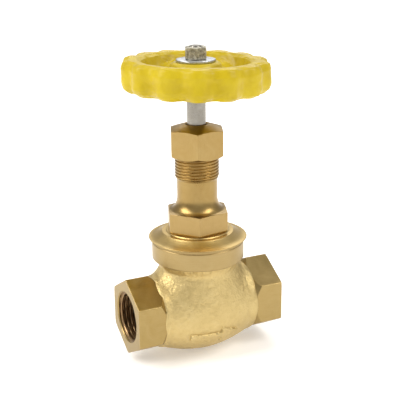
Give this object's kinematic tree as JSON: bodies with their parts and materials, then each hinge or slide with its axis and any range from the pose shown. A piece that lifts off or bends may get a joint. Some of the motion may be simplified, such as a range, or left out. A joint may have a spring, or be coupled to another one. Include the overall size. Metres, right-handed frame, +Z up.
{
  "type": "globe valve",
  "caption": "Screwed-end bronze globe valve with screwed bonnet, packed gland, rising stem and lobed handwheel.",
  "frame": {"origin": "on the stem axis, level with the lowest point of the body", "axes": "+X along the flow from the inlet to the outlet, +Z up along the stem"},
  "size_m": [0.064, 0.0586, 0.1257],
  "materials": {
    "cast_bronze": "satin shot-blasted casting, machined on the ends and ring",
    "brass": "turned, bright",
    "steel": "turned",
    "zinc": "zinc plated, dull",
    "wheel_paint": "glossy enamel over a casting",
    "ptfe": "waxy, matt",
    "fibre": "matt fibre sheet"
  },
  "bodies": {
    "casing": {"body": "cast_bronze", "seat_ring": "brass", "bonnet_gasket": "fibre", "bonnet": "brass", "packing_washer": "brass", "packing_ring_1": "ptfe", "packing_ring_2": "ptfe", "packing_ring_3": "ptfe", "packing_ring_4": "ptfe", "gland_follower": "brass", "gland_nut": "brass"},
    "disc": {"disc_holder": "brass", "disc_insert": "ptfe", "disc_screw": "brass", "disc_nut": "brass"},
    "spindle": {"stem": "steel", "handwheel": "wheel_paint", "wheel_washer": "zinc", "wheel_nut": "zinc"}
  },
  "joints": [
    {"name": "stem_lift", "type": "slide", "parent": "casing", "child": "disc", "axis": [0, 0, 1], "range_m": [-0.006, 0]},
    {"name": "handwheel_turn", "type": "hinge", "parent": "disc", "child": "spindle", "pos_m": [0, 0, 0.11], "axis": [0, 0, 1], "range_deg": [-1080, 0]}
  ],
  "couplings": [
    {"joint": "stem_lift", "follows": "handwheel_turn", "m_per_rad": 0.0003183}
  ]
}
